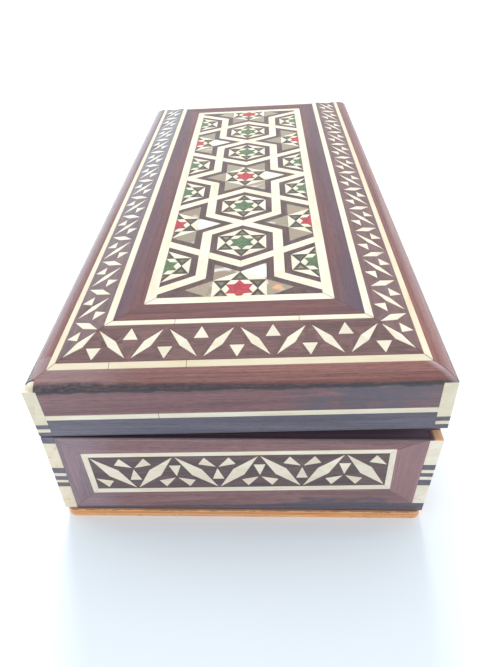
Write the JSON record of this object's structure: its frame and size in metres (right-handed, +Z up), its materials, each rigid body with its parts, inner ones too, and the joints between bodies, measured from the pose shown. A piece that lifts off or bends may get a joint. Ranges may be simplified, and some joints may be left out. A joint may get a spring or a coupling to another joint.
{
  "type": "inlaid wooden box",
  "caption": "Long hinged wooden box with a bevelled lid, covered in rosewood, bone and ebony marquetry round a mother-of-pearl star mosaic.",
  "frame": {"origin": "centre of the bottom plate's rectangle on its lower face, which rests on the table", "axes": "+X towards the opening side, -X is the hinge side; +Y along the box, away from the front end; +Z up"},
  "size_m": [0.1014, 0.2144, 0.058],
  "materials": {
    "plywood": "varnished plywood",
    "board_wood": "bare, oiled softwood",
    "rosewood": "lacquered rosewood",
    "dark_wood": "lacquered dark wood",
    "ebony": "lacquered ebony",
    "olive_wood": "lacquered olive-brown wood",
    "bone": "polished bone, a little yellow",
    "mother_of_pearl": "polished shell with a pearly sheen",
    "red_paste": "polished coloured inlay",
    "green_paste": "polished coloured inlay",
    "brass": "dull brass",
    "velvet": "short-pile velvet"
  },
  "bodies": {
    "base": {"bottom_plate": "plywood", "base_wall_front": "board_wood", "base_wall_right": "board_wood", "base_wall_back": "board_wood", "base_wall_left": "board_wood", "base_border_front": "rosewood", "base_border_right": "rosewood", "base_border_back": "rosewood", "base_border_left": "rosewood", "base_line_front": "bone", "base_line_right": "bone", "base_line_back": "bone", "base_line_left": "bone", "base_ground_front": "dark_wood", "base_ground_right": "dark_wood", "base_ground_back": "dark_wood", "base_ground_left": "dark_wood", "base_foot_strip": "ebony", "base_leaves": "bone", "base_triangles": "bone", "base_post_bone": "bone", "base_post_ebony": "ebony", "base_floor_pad": "velvet", "base_wall_liners": "velvet", "hinge_lower_leaves": "brass", "hinge_pins": "brass", "hinge_lower_screws": "brass"},
    "lid": {"lid_wall_front": "board_wood", "lid_wall_right": "board_wood", "lid_wall_back": "board_wood", "lid_wall_left": "board_wood", "lid_board": "board_wood", "lid_side_bands": "rosewood", "lid_side_lines": "bone", "lid_foot_bands": "ebony", "lid_post_bone": "bone", "lid_post_ebony": "ebony", "lid_moulding": "rosewood", "lid_outer_line": "bone", "lid_leaf_ground": "dark_wood", "lid_leaves": "bone", "lid_triangles": "bone", "lid_inner_line": "bone", "lid_field_band": "rosewood", "mosaic_frame": "bone", "mosaic_ground": "ebony", "mosaic_straps": "bone", "mother_of_pearl": "mother_of_pearl", "tile_triangles": "bone", "star_arms": "ebony", "arm_centres": "olive_wood", "tile_kites": "bone", "red_stars": "red_paste", "green_stars": "green_paste", "hinge_upper_leaves": "brass", "hinge_upper_screws": "brass", "lid_ceiling_pad": "velvet", "lid_wall_liners": "velvet"}
  },
  "joints": [
    {"name": "lid_hinge", "type": "hinge", "parent": "base", "child": "lid", "pos_m": [-0.0497, 0, 0.0333], "axis": [0, -1, 0], "range_deg": [0, 96]}
  ]
}
